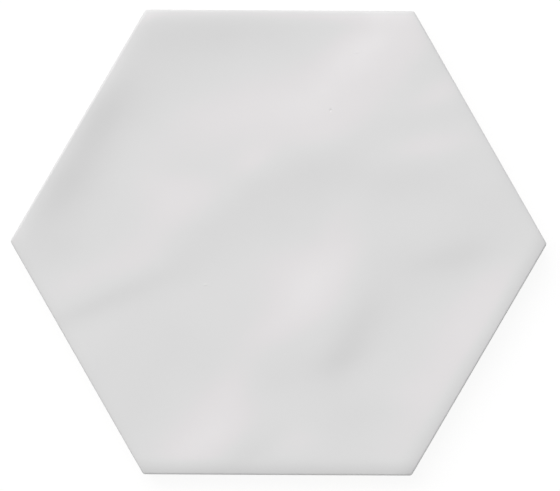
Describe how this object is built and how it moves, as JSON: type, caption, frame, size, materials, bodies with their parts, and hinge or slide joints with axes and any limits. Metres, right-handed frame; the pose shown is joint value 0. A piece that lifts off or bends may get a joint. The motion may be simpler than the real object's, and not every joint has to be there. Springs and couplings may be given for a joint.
{
  "type": "hexagon wall tile",
  "caption": "Flat regular hexagon wall tile of white satin glazed ceramic, with a softly waved face, eased rim, tapered sides and a keyed back for bedding in adhesive.",
  "frame": {"origin": "centre of the back, on the plane that the tile lies on", "axes": "+Z out of the glazed face, +X through a corner of the hexagon, +Y through the middle of a side"},
  "size_m": [0.1238, 0.1074, 0.0094],
  "materials": {
    "glazed_tile": "satin"
  },
  "bodies": {
    "root": {"hexagon_tile": "glazed_tile"}
  },
  "joints": []
}
